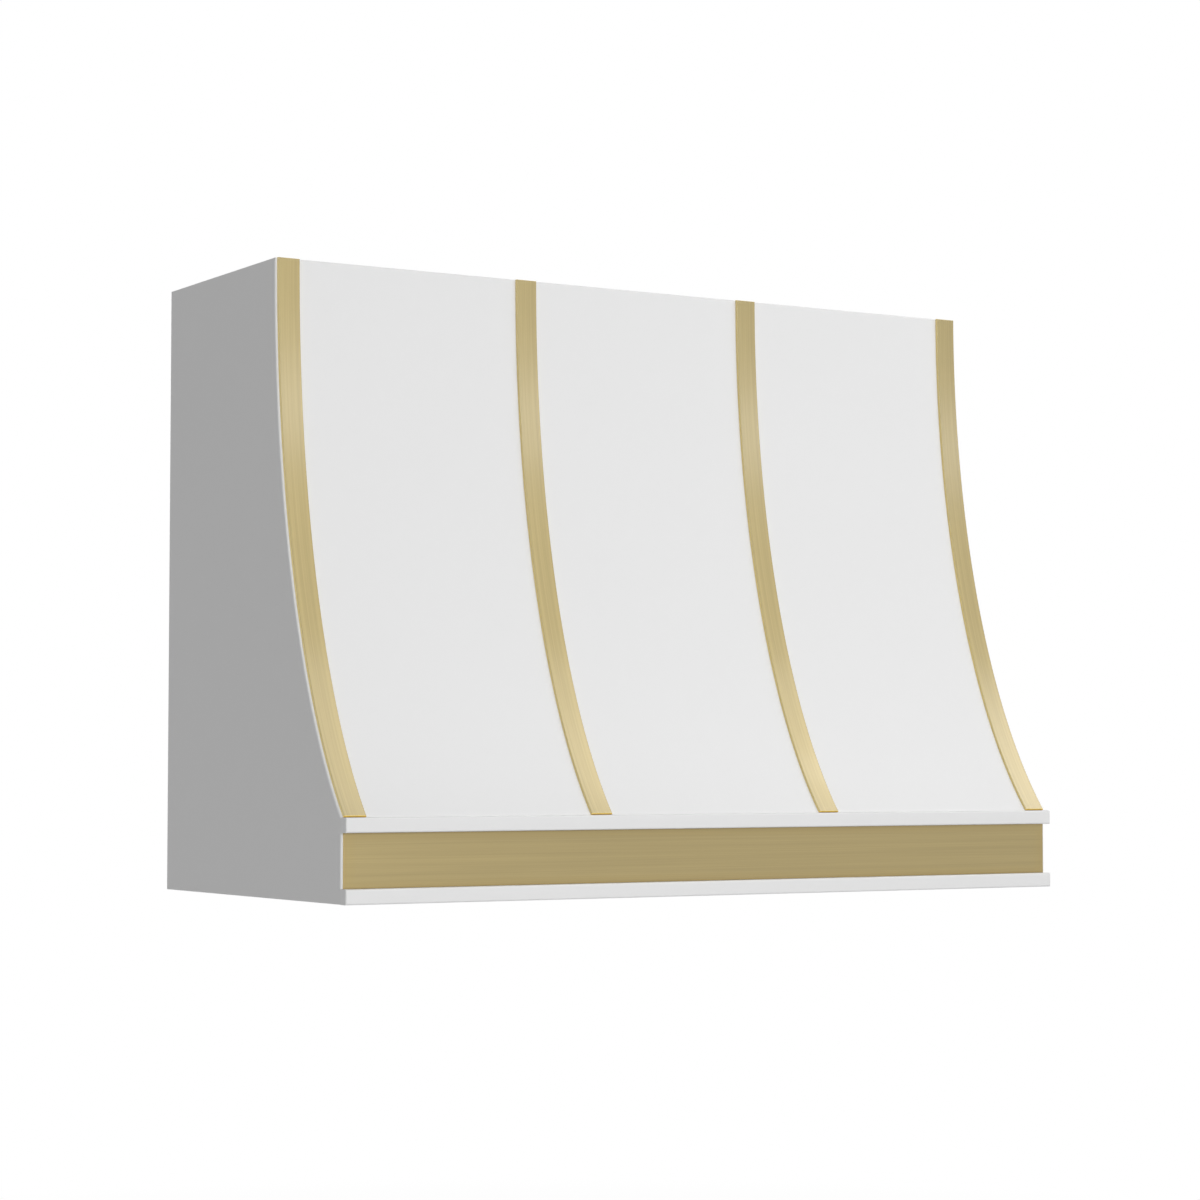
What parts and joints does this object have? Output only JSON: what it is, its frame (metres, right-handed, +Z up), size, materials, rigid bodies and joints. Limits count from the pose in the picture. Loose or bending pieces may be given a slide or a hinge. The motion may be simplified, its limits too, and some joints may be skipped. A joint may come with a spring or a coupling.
{
  "type": "range hood",
  "caption": "Wall range hood with a concave painted front, brass straps and a metal insert with tilting filters, lights, push buttons and a ducted blower.",
  "frame": {"origin": "middle of the bottom edge of the hood's back, where the lower hanging rail meets the wall", "axes": "+X to the right along the width, +Y into the wall, +Z up"},
  "size_m": [1.2192, 0.6096, 0.9144],
  "materials": {
    "white_paint": "satin white paint on board",
    "plywood": "bare plywood",
    "brushed_brass": "brushed along its length",
    "stainless_steel": "brushed",
    "zinc_coated_steel": "zinc coated",
    "magnet_nickel": "nickel plated",
    "cast_aluminium": "cast, matte",
    "lens_glass": "frosted",
    "button_plastic": "satin silver",
    "black_plastic": "matte",
    "motor_enamel": "satin black enamel",
    "bright_steel": "ground"
  },
  "bodies": {
    "hood": {"left_side_panel": "white_paint", "right_side_panel": "white_paint", "front_panel": "white_paint", "apron_board": "white_paint", "upper_moulding": "white_paint", "lower_moulding": "white_paint", "top_panel": "plywood", "upper_hanging_rail": "plywood", "lower_hanging_rail": "plywood", "left_rib": "plywood", "right_rib": "plywood", "bottom_shelf": "plywood", "shelf_cleats": "plywood", "top_cleats": "plywood", "left_outer_strap": "brushed_brass", "left_inner_strap": "brushed_brass", "right_inner_strap": "brushed_brass", "right_outer_strap": "brushed_brass", "brass_band": "brushed_brass", "insert_plate": "stainless_steel", "insert_screws": "stainless_steel", "filter_rack": "stainless_steel", "filter_hooks": "stainless_steel", "tray_brackets": "stainless_steel", "light_bezels": "stainless_steel", "control_plate": "stainless_steel", "plenum_box": "zinc_coated_steel", "blower_cabinet": "zinc_coated_steel", "blower_housing": "zinc_coated_steel", "inlet_rings": "zinc_coated_steel", "motor_bracket": "zinc_coated_steel", "duct_collar": "zinc_coated_steel", "junction_box": "zinc_coated_steel", "junction_cover": "zinc_coated_steel", "filter_magnets": "magnet_nickel", "light_bodies": "cast_aluminium", "light_lenses": "lens_glass", "switch_box": "black_plastic", "cable_gland": "black_plastic", "motor": "motor_enamel", "damper_pin": "bright_steel"},
    "left_filter": {"left_filter_frame": "stainless_steel", "left_filter_baffles": "stainless_steel", "left_filter_handle": "stainless_steel"},
    "centre_filter": {"centre_filter_frame": "stainless_steel", "centre_filter_baffles": "stainless_steel", "centre_filter_handle": "stainless_steel"},
    "right_filter": {"right_filter_frame": "stainless_steel", "right_filter_baffles": "stainless_steel", "right_filter_handle": "stainless_steel"},
    "grease_tray": {"grease_tray": "stainless_steel"},
    "off_button": {"off_button": "button_plastic"},
    "low_button": {"low_button": "button_plastic"},
    "medium_button": {"medium_button": "button_plastic"},
    "high_button": {"high_button": "button_plastic"},
    "light_button": {"light_button": "button_plastic"},
    "impeller": {"impeller": "zinc_coated_steel", "motor_shaft": "bright_steel"},
    "front_flap": {"front_damper_flap": "zinc_coated_steel"},
    "rear_flap": {"rear_damper_flap": "zinc_coated_steel"}
  },
  "joints": [
    {"name": "left_filter_tilt", "type": "hinge", "parent": "hood", "child": "left_filter", "pos_m": [-0.35533, -0.118, 0.058], "axis": [1, 0, 0], "range_deg": [0, 45]},
    {"name": "centre_filter_tilt", "type": "hinge", "parent": "hood", "child": "centre_filter", "pos_m": [0, -0.118, 0.058], "axis": [1, 0, 0], "range_deg": [0, 45]},
    {"name": "right_filter_tilt", "type": "hinge", "parent": "hood", "child": "right_filter", "pos_m": [0.35533, -0.118, 0.058], "axis": [1, 0, 0], "range_deg": [0, 45]},
    {"name": "grease_tray_lift", "type": "slide", "parent": "hood", "child": "grease_tray", "axis": [0, 0, 1], "range_m": [0, 0.012]},
    {"name": "off_button_press", "type": "slide", "parent": "hood", "child": "off_button", "axis": [0, 0, 1], "range_m": [0, 0.0025], "stiffness_N_per_m": 300, "springref_m": -0.001},
    {"name": "low_button_press", "type": "slide", "parent": "hood", "child": "low_button", "axis": [0, 0, 1], "range_m": [0, 0.0025], "stiffness_N_per_m": 300, "springref_m": -0.001},
    {"name": "medium_button_press", "type": "slide", "parent": "hood", "child": "medium_button", "axis": [0, 0, 1], "range_m": [0, 0.0025], "stiffness_N_per_m": 300, "springref_m": -0.001},
    {"name": "high_button_press", "type": "slide", "parent": "hood", "child": "high_button", "axis": [0, 0, 1], "range_m": [0, 0.0025], "stiffness_N_per_m": 300, "springref_m": -0.001},
    {"name": "light_button_press", "type": "slide", "parent": "hood", "child": "light_button", "axis": [0, 0, 1], "range_m": [0, 0.0025], "stiffness_N_per_m": 300, "springref_m": -0.001},
    {"name": "impeller_spin", "type": "hinge", "parent": "hood", "child": "impeller", "pos_m": [0, -0.26, 0.375], "axis": [1, 0, 0], "continuous": true},
    {"name": "front_flap_swing", "type": "hinge", "parent": "hood", "child": "front_flap", "pos_m": [0, -0.19525, 0.555], "axis": [-1, 0, 0], "range_deg": [0, 75]},
    {"name": "rear_flap_swing", "type": "hinge", "parent": "hood", "child": "rear_flap", "pos_m": [0, -0.19525, 0.555], "axis": [1, 0, 0], "range_deg": [0, 75]}
  ]
}
